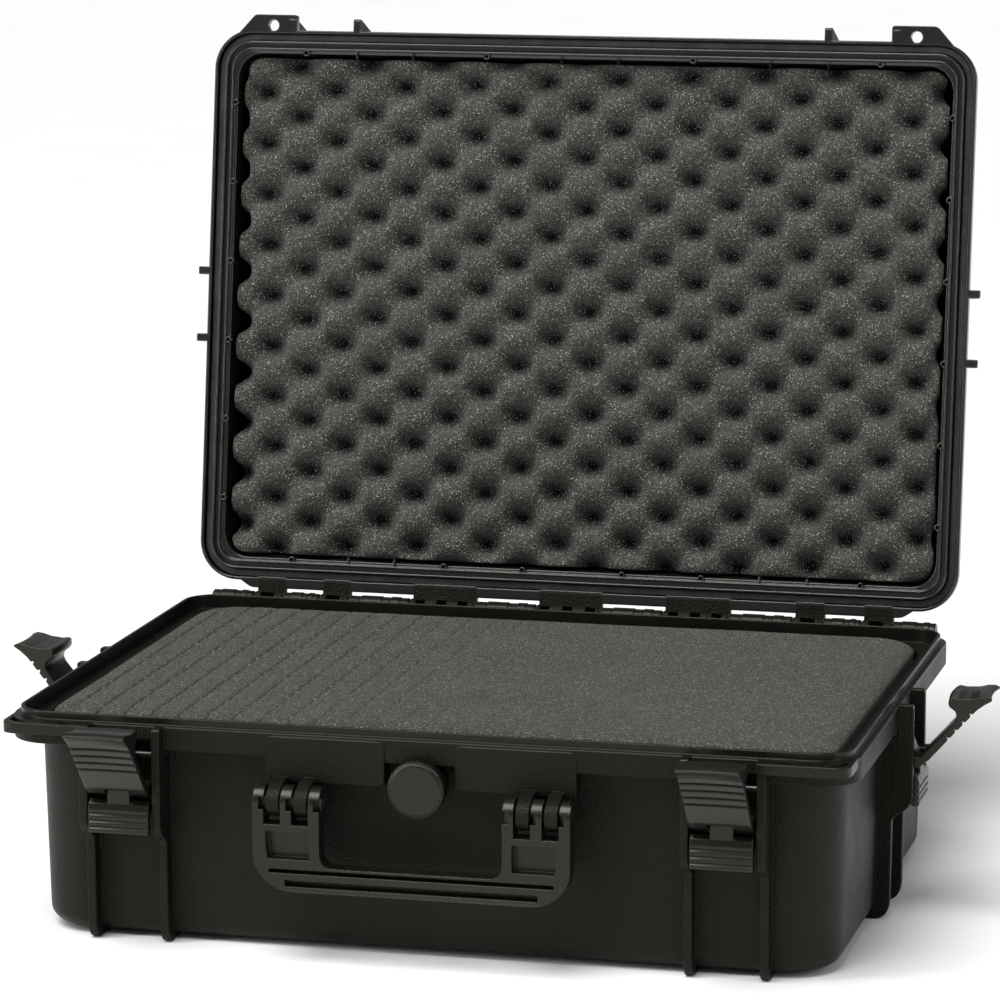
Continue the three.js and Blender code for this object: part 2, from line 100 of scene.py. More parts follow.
BORE_R = 2.4
BORE_STEPS = 24
SLIT_PITCH = 17.5

JOINTS = {joint["name"]: joint for joint in frame["joints"]}
HINGE_AT = JOINTS["lid_hinge"]["pos_m"]
SHIFT = Vector((0, HINGE_AT[1] / MM - HINGE_Y, HINGE_AT[2] / MM - HINGE_Z))
TO_FRAME = Matrix.Scale(MM, 4) @ Matrix.Translation(SHIFT)
LID_OPEN = (
    Matrix.Translation((0, HINGE_Y, HINGE_Z))
    @ Matrix.Rotation(math.radians(-OPEN_ANGLE), 4, "X")
    @ Matrix.Translation((0, -HINGE_Y, -HINGE_Z))
)

# one row per latch: its turn about Z in degrees, how far out the lever's pivot is, its place
# along the wall, and how far out the wall and the rim are
Station = namedtuple("Station", "name turn out along wall rim")
STATIONS = (
    Station("front_left", -90, 192.7, -188.3, WALL[1], RIM[1]),
    Station("front_right", -90, 192.7, 188.3, WALL[1], RIM[1]),
    Station("side_left", 180, 267.0, 0.0, WALL[0], RIM[0]),
    Station("side_right", 0, 267.0, 0.0, WALL[0], RIM[0]),
)


# ---- mesh helpers
def add_object(name, data):
    obj = bpy.data.objects.new(name, data)
    bpy.context.scene.collection.objects.link(obj)
    return obj


def to_object(name, mesh_builder):
    mesh = bpy.data.meshes.new(name)
    mesh_builder.to_mesh(mesh)
    mesh_builder.free()
    return add_object(name, mesh)


def ring(outline, inset, z, steps=14):
    """A rounded rectangle at height z, drawn inset from its outline."""
    x, y, r = outline
    points = []
    corners = ((x - r, y - r, 0), (r - x, y - r, 90), (r - x, r - y, 180), (x - r, r - y, 270))
    for cx, cy, start in corners:
        for i in range(steps + 1):
            angle = math.radians(start + 90 * i / steps)
            points.append(Vector((
                cx + (r - inset) * math.cos(angle),
                cy + (r - inset) * math.sin(angle),
                z,
            )))
    return points


def round_corner(p, a, b, radius, steps):
    """Points that round off the corner p between its neighbours a and b."""
    start = p + (a - p) * min(0.45, radius / max((a - p).length, 1e-6))
    end = p + (b - p) * min(0.45, radius / max((b - p).length, 1e-6))
    points = []
    for k in range(steps + 1):
        s = k / steps
        points.append(start * (1 - s) ** 2 + p * 2 * s * (1 - s) + end * s * s)
    return points


def fillet_rows(rows, closed, steps=4):
    """Rounds the rows of a loft: each row is (points, radius)."""
    result = []
    count = len(rows)
    for i, (points, radius) in enumerate(rows):
        if radius == 0 or (not closed and i in (0, count - 1)):
            result.append(points)
            continue
        before = rows[i - 1][0]
        after = rows[(i + 1) % count][0]
        corners = [round_corner(p, a, b, radius, steps) for p, a, b in zip(points, before, after)]
        result += zip(*corners)
    return result


def wrap(bm, lower, upper):
    """Joins two closed rows of vertices with a band of faces."""
    for i in range(len(lower)):
        j = (i + 1) % len(lower)
        bm.faces.new((lower[i], lower[j], upper[j], upper[i]))


def loft(name, rows, closed=False):
    """Skins a stack of (points, radius) rows: capped at both ends, or closed into a ring."""
    rows = fillet_rows(rows, closed)
    bm = bmesh.new()
    grid = [[bm.verts.new(p) for p in row] for row in rows]
    pairs = list(zip(grid, grid[1:]))
    if closed:
        pairs.append((grid[-1], grid[0]))
    for lower, upper in pairs:
        wrap(bm, lower, upper)
    if not closed:
        bm.faces.new(list(reversed(grid[0])))
        bm.faces.new(grid[-1])
    bmesh.ops.recalc_face_normals(bm, faces=bm.faces)
    return to_object(name, bm)


def rounded(points, radius, steps=3, sharp=()):
    """Rounds the corners of a flat outline, apart from the points numbered in sharp."""
    result = []
    n = len(points)
    for i in range(n):
        before, point, after = (Vector(points[k % n]) for k in (i - 1, i, i + 1))
        if i in sharp:
            result.append(point)
        else:
            result += round_corner(point, before, after, radius, steps)
    return result


def curve(p0, p1, p2, p3, steps=10):
    """Points along a Bezier curve, without its first."""
    points = []
    for k in range(1, steps + 1):
        s = k / steps
        points.append(tuple(
            a * (1 - s) ** 3 + 3 * b * s * (1 - s) ** 2 + 3 * c * s * s * (1 - s) + d * s ** 3
            for a, b, c, d in zip(p0, p1, p2, p3)
        ))
    return points


def arc(cx, cy, r, start, end, steps=12):
    points = []
    for k in range(steps + 1):
        angle = math.radians(start + (end - start) * k / steps)
        points.append((cx + r * math.cos(angle), cy + r * math.sin(angle)))
    return points


def prism(name, outline, low, high, bevel, axis):
    """Raises a flat outline between two planes, with soft rims at both ends.

    axis "Y": outline in (X, Z); axis "Z": outline in (X, Y); axis "X": outline in (Y, Z)."""
    place = {
        "X": lambda u, v, w: Vector((w, u, v)),
        "Y": lambda u, v, w: Vector((u, w, v)),
        "Z": lambda u, v, w: Vector((u, v, w)),
    }[axis]
    bm = bmesh.new()
    first = [bm.verts.new(place(p[0], p[1], low)) for p in outline]
    last = [bm.verts.new(place(p[0], p[1], high)) for p in outline]
    caps = [bm.faces.new(first), bm.faces.new(last)]
    wrap(bm, first, last)
    bmesh.ops.recalc_face_normals(bm, faces=bm.faces)
    if bevel:
        edges = list({edge for cap in caps for edge in cap.edges})
        bmesh.ops.bevel(
            bm, geom=edges, offset=bevel, segments=2, profile=0.5, affect="EDGES", clamp_overlap=False)
    return to_object(name, bm)


def block(x0, x1, y0, y1, z0, z1, bevel=0.5):
    outline = [(x0, y0), (x1, y0), (x1, y1), (x0, y1)]
    return prism("block", rounded(outline, bevel * 1.5 or 0.01), z0, z1, bevel, "Z")


def turned(name, profile, axis, segments=48, centre=(0, 0, 0), ripple=None):
    """Revolves (radius, along) points about an axis; ripple may change a radius at an angle."""
    bm = bmesh.new()
    rows = []
    for radius, along in profile:
        row = []
        for i in range(segments):
            angle = 2 * math.pi * i / segments
            r = ripple(radius, along, angle) if ripple and radius > 0 else radius
            u = r * math.cos(angle)
            v = r * math.sin(angle)
            if radius == 0 and row:
                continue
            point = {"X": (along, u, v), "Y": (u, along, v), "Z": (u, v, along)}[axis]
            row.append(bm.verts.new(Vector(point) + Vector(centre)))
        rows.append(row)
    for lower, upper in zip(rows, rows[1:]):
        for i in range(segments):
            j = (i + 1) % segments
            if len(lower) == 1:
                bm.faces.new((lower[0], upper[j], upper[i]))
            elif len(upper) == 1:
                bm.faces.new((lower[i], lower[j], upper[0]))
            else:
                bm.faces.new((lower[i], lower[j], upper[j], upper[i]))
    bmesh.ops.remove_doubles(bm, verts=bm.verts, dist=1e-4)
    bmesh.ops.recalc_face_normals(bm, faces=bm.faces)
    return to_object(name, bm)


def rod(axis, radius, a, b, centre=(0, 0, 0), chamfer=0.0, segments=32):
    profile = [(0, a), (radius - chamfer, a)]
    if chamfer:
        profile += [(radius, a + chamfer), (radius, b - chamfer)]
    profile += [(radius - chamfer, b), (0, b)]
    return turned("rod", profile, axis, segments, centre)


def bore(axis, a, b, centre):
    """The tool for a pin's hole."""
    return rod(axis, BORE_R, a, b, centre, 0, BORE_STEPS)


def pin(axis, a, b, centre):
    return rod(axis, PIN_R, a, b, centre, 0.4, 24)


def transform(obj, matrix):
    obj.data.transform(matrix)
    if matrix.determinant() < 0:
        obj.data.flip_normals()
    return obj


def remove(obj):
    mesh = obj.data
    bpy.data.objects.remove(obj)
    bpy.data.meshes.remove(mesh)


def apply_modifiers(obj):
    graph = bpy.context.evaluated_depsgraph_get()
    mesh = bpy.data.meshes.new_from_object(obj.evaluated_get(graph))
    old = obj.data
    obj.modifiers.clear()
    obj.data = mesh
    bpy.data.meshes.remove(old)


def combine(obj, tools, operation):
    """Booleans the tools into a piece, one by one; the exact solver steps in if the fast one fails."""
    for tool in tools:
        before = len(obj.data.vertices)
        for solver in ("MANIFOLD", "EXACT"):
            modifier = obj.modifiers.new("combine", "BOOLEAN")
            modifier.operation = operation
            modifier.solver = solver
            modifier.object = tool
            apply_modifiers(obj)
            if len(obj.data.vertices) != before:
                if solver == "EXACT":
                    print("used the exact solver:", obj.name, tool.name, operation)
                break
        else:
            print("combine changed nothing:", obj.name, tool.name, operation)
        remove(tool)


def cut(obj, tools):
    combine(obj, tools, "DIFFERENCE")


def fuse(obj, tools):
    combine(obj, tools, "UNION")


def drop_crumbs(obj, least=200):
    """Deletes the small loose crumbs that a boolean can leave beside the body."""
    bm = bmesh.new()
    bm.from_mesh(obj.data)
    seen = set()
    crumbs = []
    for start in bm.verts:
        if start in seen:
            continue
        seen.add(start)
        group = [start]
        for vert in group:
            for edge in vert.link_edges:
                other = edge.other_vert(vert)
                if other not in seen:
                    seen.add(other)
                    group.append(other)
        if len(group) < least:
            crumbs += group
    bmesh.ops.delete(bm, geom=crumbs, context="VERTS")
    bm.to_mesh(obj.data)
    bm.free()


def merge(name, parts):
    """Joins parts that don't touch into one mesh."""
    bm = bmesh.new()
    for part in parts:
        bm.from_mesh(part.data)
        remove(part)
    return to_object(name, bm)


def soften(obj, width, angle):
    """Bevels every hard edge that booleans leave."""
    bm = bmesh.new()
    bm.from_mesh(obj.data)
    bmesh.ops.remove_doubles(bm, verts=bm.verts, dist=0.01)
    bmesh.ops.dissolve_limit(bm, angle_limit=math.radians(2), verts=bm.verts, edges=bm.edges)
    bm.to_mesh(obj.data)
    bm.free()
    modifier = obj.modifiers.new("soften", "BEVEL")
    modifier.width = width
    modifier.segments = 2
    modifier.limit_method = "ANGLE"
    modifier.angle_limit = math.radians(angle)
    modifier.use_clamp_overlap = True
    modifier.miter_outer = "MITER_ARC"
    apply_modifiers(obj)


def finish_piece(obj, name, body, nodes, finish, place=None, sharp=32, rim=None):
    """Puts a piece into the frame, shades it, says what body it rides on, and hides the nodes it stands for.

    rim: (finish, test) gives the polygons whose centre passes the test another finish."""
    obj.name = name
    obj.data.name = name
    obj.data.materials.clear()
    obj.data.materials.append(finish)
    if rim:
        obj.data.materials.append(rim[0])
    for polygon in obj.data.polygons:
        polygon.use_smooth = True
        polygon.material_index = 1 if rim and rim[1](polygon.center) else 0
    if place:
        transform(obj, place)
    transform(obj, TO_FRAME)
    if sharp:
        obj.data.set_sharp_from_angle(angle=math.radians(sharp))
        modifier = obj.modifiers.new("normals", "WEIGHTED_NORMAL")
        modifier.keep_sharp = True
        apply_modifiers(obj)
    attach(obj, body)
    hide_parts(*nodes)


# ---- materials
class Finish:
    """A material under construction: short calls for the nodes that the finishes share."""

    def __init__(self, name):
        self.material = bpy.data.materials.new(name)
        self.material.use_nodes = True
        self.tree = self.material.node_tree
        self.shader = next(n for n in self.tree.nodes if n.type == "BSDF_PRINCIPLED")
        self.place = self.node("ShaderNodeTexCoord").outputs["Object"]

    def node(self, kind, inputs=None, **settings):
        node = self.tree.nodes.new(kind)
        for key, value in settings.items():
            setattr(node, key, value)
        for key, value in (inputs or {}).items():
            node.inputs[key].default_value = value
        return node

    def link(self, start, end):
        self.tree.links.new(start, end)

    def noise(self, scale, detail=2.0, roughness=0.5, place=None):
        node = self.node("ShaderNodeTexNoise", {"Scale": scale, "Detail": detail, "Roughness": roughness})
        self.link(place or self.place, node.inputs["Vector"])
        return node.outputs["Fac"]

    def cells(self, scale, output="Distance"):
        node = self.node("ShaderNodeTexVoronoi", {"Scale": scale})
        self.link(self.place, node.inputs["Vector"])
        return node.outputs[output]

    def stretched(self, x, y, z):
        node = self.node("ShaderNodeMapping", {"Scale": (x, y, z)})
        self.link(self.place, node.inputs["Vector"])
        return node.outputs["Vector"]

    def span(self, source, low, high, to_low=0.0, to_high=1.0):
        ends = {"From Min": low, "From Max": high, "To Min": to_low, "To Max": to_high}
        node = self.node("ShaderNodeMapRange", ends, clamp=True)
        self.link(source, node.inputs["Value"])
        return node.outputs["Result"]

    def maths(self, operation, a, b):
        node = self.node("ShaderNodeMath", operation=operation)
        for socket, value in zip(node.inputs, (a, b)):
            if isinstance(value, (int, float)):
                socket.default_value = value
            else:
                self.link(value, socket)
        return node.outputs[0]

    def mix(self, factor, a, b):
        node = self.node("ShaderNodeMix", data_type="RGBA")
        self.link(factor, node.inputs["Factor"])
        for socket, value in ((node.inputs[6], a), (node.inputs[7], b)):
            if isinstance(value, tuple):
                socket.default_value = (*value, 1.0)
            else:
                self.link(value, socket)
        return node.outputs[2]

    def edges(self, radius):
        """How far a soft bevel turns the surface: bright along edges."""
        bevel = self.node("ShaderNodeBevel", {"Radius": radius}, samples=4)
        geometry = self.node("ShaderNodeNewGeometry")
        dot = self.node("ShaderNodeVectorMath", operation="DOT_PRODUCT")
        self.link(bevel.outputs["Normal"], dot.inputs[0])
        self.link(geometry.outputs["Normal"], dot.inputs[1])
        return bevel.outputs["Normal"], self.maths("SUBTRACT", 1.0, dot.outputs["Value"])

    def bump(self, height, distance, strength=1.0, normal=None):
        node = self.node("ShaderNodeBump", {"Distance": distance, "Strength": strength})
        self.link(height, node.inputs["Height"])
        if normal:
            self.link(normal, node.inputs["Normal"])
        return node.outputs["Normal"]

    def done(self, colour=None, roughness=None, normal=None, **sockets):
        for name, value in (("Base Color", colour), ("Roughness", roughness), ("Normal", normal)):
            if value is not None:
                self.link(value, self.shader.inputs[name])
        for name, value in sockets.items():
            self.shader.inputs[name.replace("_", " ")].default_value = value
        return self.material


def moulded_plastic(
    name, dark, light, rough, grain_height, grain_scale, shine, wear_and_highlight_gain=2.6, warmth=0.84,
):
    """Moulded plastic: clouded colour, fine grain, edges lightened partly as wear and partly as a painted
    highlight, and reflections a little warm.
    """
    f = Finish(name)
    cloud = f.noise(14, 3)
    fine = f.noise(grain_scale, 3, 0.65)
    pits = f.cells(grain_scale * 0.7)
    soft_normal, edge = f.edges(0.0011)
    wear_and_highlight = f.span(edge, 0.02, 0.25)
    colour = f.mix(f.span(cloud, 0.35, 0.65), dark, light)
    speck = f.span(fine, 0.52, 0.68, 0.0, 0.6)
    colour = f.mix(speck, colour, tuple(c * 1.9 for c in light))
    # painted highlight and wear: the colour is lightened along the edges that the soft bevel turns
    colour = f.mix(f.maths("MULTIPLY", wear_and_highlight, 0.5), colour, tuple(c * wear_and_highlight_gain for c in light))
    roughness = f.span(f.noise(55, 3), 0.3, 0.7, rough - 0.03, rough + 0.04)
    roughness = f.maths("SUBTRACT", roughness, f.maths("MULTIPLY", wear_and_highlight, 0.12))
    grain = f.maths("ADD", fine, f.maths("MULTIPLY", pits, 0.6))
    normal = f.bump(grain, grain_height, 1.0, soft_normal)
    return f.done(colour, roughness, normal, Specular_IOR_Level=shine, Specular_Tint=(1, 1, warmth, 1))


def brushed_steel(name, light, dark):
    """Steel with fine turning marks and faint stains."""
    f = Finish(name)
    streaks = f.noise(260, 4, 0.6, f.stretched(1.0, 0.12, 0.12))
    stain = f.noise(90, 3)
    colour = f.mix(f.span(stain, 0.4, 0.7), light, dark)
    roughness = f.span(streaks, 0.3, 0.7, 0.3, 0.45)
    normal = f.bump(streaks, 0.00002)
    return f.done(colour, roughness, normal, Metallic=1.0)


def seal_rubber():
    """Matt black rubber with a film of dust."""
    f = Finish("seal_rubber")
    fine = f.noise(1500, 3)
    dust = f.noise(60, 4, 0.7)
    colour = f.mix(f.span(dust, 0.42, 0.7), (0.021, 0.021, 0.02), (0.05, 0.05, 0.048))
    roughness = f.span(fine, 0.3, 0.7, 0.55, 0.75)
    return f.done(colour, roughness, f.bump(fine, 0.00008))


def open_cell_foam(name, dark, light, speck_colour, grain, hollow_shade=None):
    """Open-cell foam: irregular pores, soft mottling, and a few cells that catch the light.

    hollow_shade: (direction, low, high) paints shade on the foam, darkening it between two depths along a
    direction."""
    f = Finish(name)
    pores = f.cells(700)
    fine = f.noise(900, 3, 0.75)
    mottle = f.noise(30, 4, 0.6)
    pick = f.node("ShaderNodeSeparateColor")
    f.link(f.cells(grain, "Color"), pick.inputs["Color"])
    pepper = f.maths("POWER", pick.outputs["Blue"], 1.6)
    tone = f.maths("ADD", f.maths("MULTIPLY", pepper, 0.62), f.span(fine, 0.36, 0.66, 0.0, 0.24))
    tone = f.maths("ADD", tone, f.span(mottle, 0.3, 0.75, 0.0, 0.14))
    colour = f.mix(tone, dark, light)
    if hollow_shade:
        direction, low, high = hollow_shade
        dot = f.node("ShaderNodeVectorMath", operation="DOT_PRODUCT")
        f.link(f.place, dot.inputs[0])
        dot.inputs[1].default_value = direction
        hollow_shade_mask = f.span(dot.outputs["Value"], low, high)
        # painted shade: the colour darkens to near black in the foam's hollows
        colour = f.mix(hollow_shade_mask, colour, tuple(c * 0.12 for c in dark))
    chosen = f.maths("GREATER_THAN", pick.outputs["Red"], 0.8)
    core = f.maths("LESS_THAN", f.cells(grain), 0.45)
    glint = f.maths("MULTIPLY", f.maths("MULTIPLY", chosen, core), pick.outputs["Green"])
    colour = f.mix(glint, colour, speck_colour)
    height = f.maths("ADD", pores, f.maths("MULTIPLY", fine, 0.8))
    return f.done(
        colour, f.span(fine, 0.3, 0.7, 0.82, 1.0), f.bump(height, 0.0008),
        Sheen_Weight=0.1, Sheen_Roughness=0.6, Specular_IOR_Level=0.2,
    )


SHELL_FINISH = moulded_plastic(
    "shell_plastic", (0.0036, 0.0036, 0.0029), (0.0056, 0.0056, 0.0045), 0.43, 0.00045, 850, 0.17)
TRIM_FINISH = moulded_plastic(
    "trim_plastic", (0.0042, 0.0042, 0.0035), (0.0067, 0.0067, 0.0057), 0.28, 0.00006, 1000, 0.35)
RIM_FINISH = moulded_plastic(
    "rim_plastic", (0.0038, 0.0038, 0.0031), (0.0056, 0.0056, 0.0047), 0.3, 0.00006, 1200, 0.26)
# the lid rim's high edge gain paints bright highlight lines along its ridges and ring bosses
LID_RIM_FINISH = moulded_plastic(
    "lid_rim_plastic", (0.0046, 0.0046, 0.0041), (0.0068, 0.0068, 0.0062), 0.19, 0.00003, 1200, 0.8,
    wear_and_highlight_gain=6, warmth=0.95)
STEEL_FINISH = brushed_steel("hinge_steel", (0.3, 0.3, 0.29), (0.17, 0.168, 0.16))
# a darker copy of the steel, for the latch and handle pins
DARK_STEEL = brushed_steel("blackened_steel", (0.07, 0.07, 0.068), (0.035, 0.034, 0.032))
SEAL_FINISH = seal_rubber()


# ---- ribs and plates
def rib_foot(wall, low, top):
    """A rib's side view from its top at the wall, down and round its foot."""
    inside = wall - 2.2
    return [
        (inside, top), (inside - 2.6, 14), (wall - 14, TUB_BOTTOM + 1.6),
        (wall - 20, TUB_BOTTOM + 1.6), (wall - 20, FEET), (low - 11, FEET),
        *curve((low - 11, FEET), (low - 4.3, FEET + 0.3), (low - 0.9, FEET + 4), (low - 0.6, 11)),
    ]


def base_rib(out, wall, rim):
    """Side view of a latch rib on the base, from its foot to the rim."""
    low = out - 5
    high = out + 8
    lower = rim - 5.2
    return [
        *rib_foot(wall, low, SKIRT_BOTTOM + 6), (low, 61),
        *curve((low, 61), (low + 0.8, 67), (high - 1, 67), (high, 77)),
        (high, RIM_TOP - 2.2),
        *curve((high, RIM_TOP - 2.2), (high, RIM_TOP - 0.8), (high - 0.8, RIM_TOP), (high - 2.2, RIM_TOP), 4),
        (lower, RIM_TOP), (lower, SKIRT_BOTTOM + 8.5),
    ]


def lid_rib(out, wall, rim):
    """Side view of a latch rib on the lid."""
    low = out - 5
    high = out + 7
    inside = wall - 2.2
    return [
        (rim - 1, PARTING), (high - 1, PARTING), (high, PARTING + 1), (high, 140.5),
        (rim - 0.6, 176), (low - 0.8, 184),
        *curve((low - 0.8, 184), (low - 1.3, 189), (low - 5, 192), (wall - 8, 192)),
        (inside - 2, 180), (inside, LID_FLANGE_TOP), (rim - 2, LID_FLANGE_TOP - 1),
    ]


def at_station(obj, turn):
    return transform(obj, Matrix.Rotation(math.radians(turn), 4, "Z"))


def rib_pair(profile, station):
    ribs = []
    for offset in (-RIB_OFFSET, RIB_OFFSET):
        middle = station.along + offset
        points = profile(station.out, station.wall, station.rim)
        rib = prism("rib", points, middle - RIB_WIDTH / 2, middle + RIB_WIDTH / 2, 0.8, "Y")
        ribs.append(at_station(rib, station.turn))
    return ribs


def back_rib(middle):
    low = WALL[1] + 12
    points = rib_foot(WALL[1], low, SKIRT_BOTTOM + 1)
    points += [(low, SKIRT_BOTTOM - 12), (RIM[1] - 1, SKIRT_BOTTOM + 1)]
    return prism("rib", points, middle - RIB_WIDTH / 2, middle + RIB_WIDTH / 2, 0.8, "X")


def mirrored_span(side, a, b):
    return sorted((side * a, side * b))


def mirrored(points, side):
    return [(side * x, y) for x, y in points]


def base_corner(side):
    """The plate round a front corner of the base, with its padlock ear."""
    points = [(208, -202), (257, -202), (262.7, -199.7), (265, -194), (265, -160)]
    points += arc(*RIM_CORNER, 21.8, 0, -90)
    points.append((208, RIM_CORNER[1] - 21.8))
    points = rounded(points, 2.2, sharp=range(4, len(points)))
    return prism("corner", mirrored(points, side), RIM_TOP - 7, RIM_TOP, 0.8, "Z")


def lid_corner(side):
    """The padlock plate at a front corner of the lid."""
    points = [(208, -202), (238.5, -202), (266, -171)]
    points += arc(*RIM_CORNER, 25.2, 0, -90)
    points.append((208, RIM_CORNER[1] - 25.2))
    points = rounded(points, 2.2, sharp=range(3, len(points)))
    return prism("corner", mirrored(points, side), PARTING + 0.15, PARTING + 6, 0.7, "Z")


def ring_boss(x, y):
    hole, outside, foot = 1.25, 2.35, 142.5
    profile = [
        (hole, foot), (hole, 138.2), (hole + 0.3, 137.9), (outside - 0.25, 137.9), (outside, 138.2),
        (outside, foot), (hole, foot),
    ]
    return turned("boss", profile, "Z", 20, (x, y, 0))


def mouth_gusset(x, y):
    """A small web across the lid's mouth."""
    inward = -math.copysign(1, y)
    profile = [(y - inward * 3, 141.9), (y - inward * 3, 138.6), (y, 138.6), (y + inward * 3.4, 141.9)]
    return prism("gusset", profile, x - 0.8, x + 0.8, 0.2, "X")


def corner_pocket(side):
    points = rounded([(248, -198.5), (256, -198.5), (261.5, -193), (261.5, -184), (257.5, -190)], 1.2)
    return prism("pocket", mirrored(points, side), RIM_TOP - 4.5, RIM_TOP + 1, 0, "Z")


def padlock_hole(side, z0, z1):
    outline = [(side * PADLOCK_X + x, PADLOCK_Y + y) for x, y in arc(0, 0, PADLOCK_R, 0, 348.75, 31)]
    return prism("hole", outline, z0, z1, 0, "Z")


# ---- base
def hinge_barrel(x0, x1):
    """A barrel with two raised lands, a little proud of the rest."""
    length = x1 - x0
    low = HINGE_R - 0.5
    profile = [(0, x0), (low - 0.6, x0), (low, x0 + 0.6)]
    for a, b in ((0.2, 0.56), (0.7, 0.86)):
        start, end = x0 + a * length, x0 + b * length
        profile += [(low, start), (HINGE_R, start + 0.5), (HINGE_R, end - 0.5), (low, end)]
    profile += [(low, x1 - 0.6), (low - 0.6, x1), (0, x1)]
    return turned("barrel", profile, "X", 48, (0, HINGE_Y, HINGE_Z))


def base_barrel(x0, x1):
    """A hinge barrel of the base, and the web that holds it to the rim."""
    web = [
        (RIM[1] - 3, HINGE_Z - HINGE_R), (HINGE_Y, HINGE_Z - HINGE_R + 0.02),
        (HINGE_Y + 2, HINGE_Z), (HINGE_Y - 2, RIM_TOP), (RIM[1] - 3, RIM_TOP - 0.02),
    ]
    return [hinge_barrel(x0, x1), prism("web", web, x0 + 0.02, x1 - 0.02, 0.5, "X")]


def handle_lug(middle):
    """A lug on the front wall, round at the front, that holds the handle's pin."""
    back = -WALL[1] + 2
    y, z = HANDLE_Y, HANDLE_Z
    points = [(back, z + 12), (back, z - 8)]
    for k in range(19):
        angle = math.radians(165 * k / 18)
        points.append((y - 9.3 * math.sin(angle), z - 9.3 * math.cos(angle)))
    points.append((y + 4, z + 12))
    return prism("lug", points, middle - 4.25, middle + 4.25, 0.6, "X")


def build_base():
    rows = []
    for k in range(9):
        angle = math.radians(-90 + 90 * k / 8)
        inset = 13 - 10 * math.cos(angle)
        rows.append((ring(WALL, inset, TUB_BOTTOM + 10 + 10 * math.sin(angle)), 0))
    rows += [
        (ring(WALL, 0, SHELF_UNDER), 1.0),
        (ring(RIM, 3, SHELF_UNDER), 0.8),
        (ring(RIM, 3, SKIRT_BOTTOM), 0.8),
        (ring(RIM, 0, SKIRT_BOTTOM), 1.0),
        (ring(RIM, 0, RIM_TOP), 1.3),
        (ring(RIM, 4, RIM_TOP), 0.6),
        (ring(RIM, 4, RIDGE_TOP), 0.8),
        (ring(RIM, 6.5, RIDGE_TOP), 0.8),
        (ring(RIM, 6.5, SHELF_TOP), 0.8),
        (ring(CAVITY, 0, SHELF_TOP), 1.2),
        (ring(CAVITY, 2.6, 15), 3.0),
        (ring(CAVITY, 9, FLOOR_TOP), 4.0),
        (ring(CAVITY, 20, FLOOR_TOP), 0),
    ]
    shell = loft("shell", rows)

    pockets = []
    half = RIB_OFFSET - RIB_WIDTH / 2
    for station in STATIONS:
        wall, along = station.wall, station.along
        pocket = block(wall + 0.6, wall + 30, along - half, along + half, 119.5, SHELF_UNDER - 0.02, 0)
        pockets.append(at_station(pocket, station.turn))
    cut(shell, pockets)

    for side in (-1, 1):
        fuse(shell, [base_corner(side)])
        x0, x1 = mirrored_span(side, 22, 97.5)
        front = rounded([(x0, 107), (x1, 107), (x1, 134.6), (x0, 134.6)], 4.5)
        plate = prism("panel", front, -RIM[1] - 0.8, -RIM[1] + 1.2, 0.5, "Y")
        behind = rounded([(x0, 107), (x1, 107), (x1, 124), (x0, 124)], 1.5)
        backing = prism("panel", behind, -RIM[1] + 0.6, -WALL[1] + 1.5, 0, "Y")
        fuse(shell, [plate, backing])
    for station in STATIONS:
        fuse(shell, rib_pair(base_rib, station))
    fuse(shell, [back_rib(x) for x in (-210.6, -163.9, 163.9, 210.6)])
    fuse(shell, [handle_lug(side * x) for side in (-1, 1) for x in LUG_X])
    for a, b in ((22.5, 66), (112, 156), (177, 203), (224, HINGE_HALF)):
        for side in (-1, 1):
            fuse(shell, base_barrel(*mirrored_span(side, a + 0.4, b - 0.4)))
    boss = [(0, -178), (15.5, -178), (15.5, -189.2), (14.7, -190), (0, -190)]
    fuse(shell, [turned("boss", boss, "Y", 56, (0, 0, VALVE_Z))])

    cut(shell, [corner_pocket(side) for side in (-1, 1)])
    cut(shell, [padlock_hole(side, RIM_TOP - 9, RIM_TOP + 1) for side in (-1, 1)])
    for station in STATIONS:
        centre = (station.out + LINK_PIN[0], 0, LATCH_Z + LINK_PIN[1])
        hole = bore("Y", station.along - 30, station.along + 30, centre)
        cut(shell, [at_station(hole, station.turn)])
    for side in (-1, 1):
        cut(shell, [bore("X", *mirrored_span(side, 60, 94), (0, HANDLE_Y, HANDLE_Z))])
    cut(shell, [bore("X", -260, 260, (0, HINGE_Y, HINGE_Z))])
    cut(shell, [rod("Y", 7.4, -195, -172, (0, 0, VALVE_Z), 0, 40)])
    return shell


# ---- lid
def knuckle(x0, x1):
    """A hinge barrel of the lid, and the web that holds it to the rim."""
    web = [
        (RIM[1] - 3, PARTING + 0.02), (HINGE_Y + 3, PARTING + 0.02), (HINGE_Y + 2, PARTING + 4),
        (HINGE_Y - 2, PARTING + 5.2), (RIM[1] - 3, PARTING + 5.2),
    ]
    return [hinge_barrel(x0, x1), prism("web", web, x0 + 0.02, x1 - 0.02, 0.5, "X")]


def knuckle_slot(middle, width):
    """The tool for a slot moulded into a knuckle."""
    slot = block(-width / 2, width / 2, -4.4, 4.4, 0, 9, 0.6)
    turn = Matrix.Rotation(math.radians(45 + OPEN_ANGLE), 4, "X")
    return transform(slot, Matrix.Translation((middle, HINGE_Y, HINGE_Z)) @ turn)


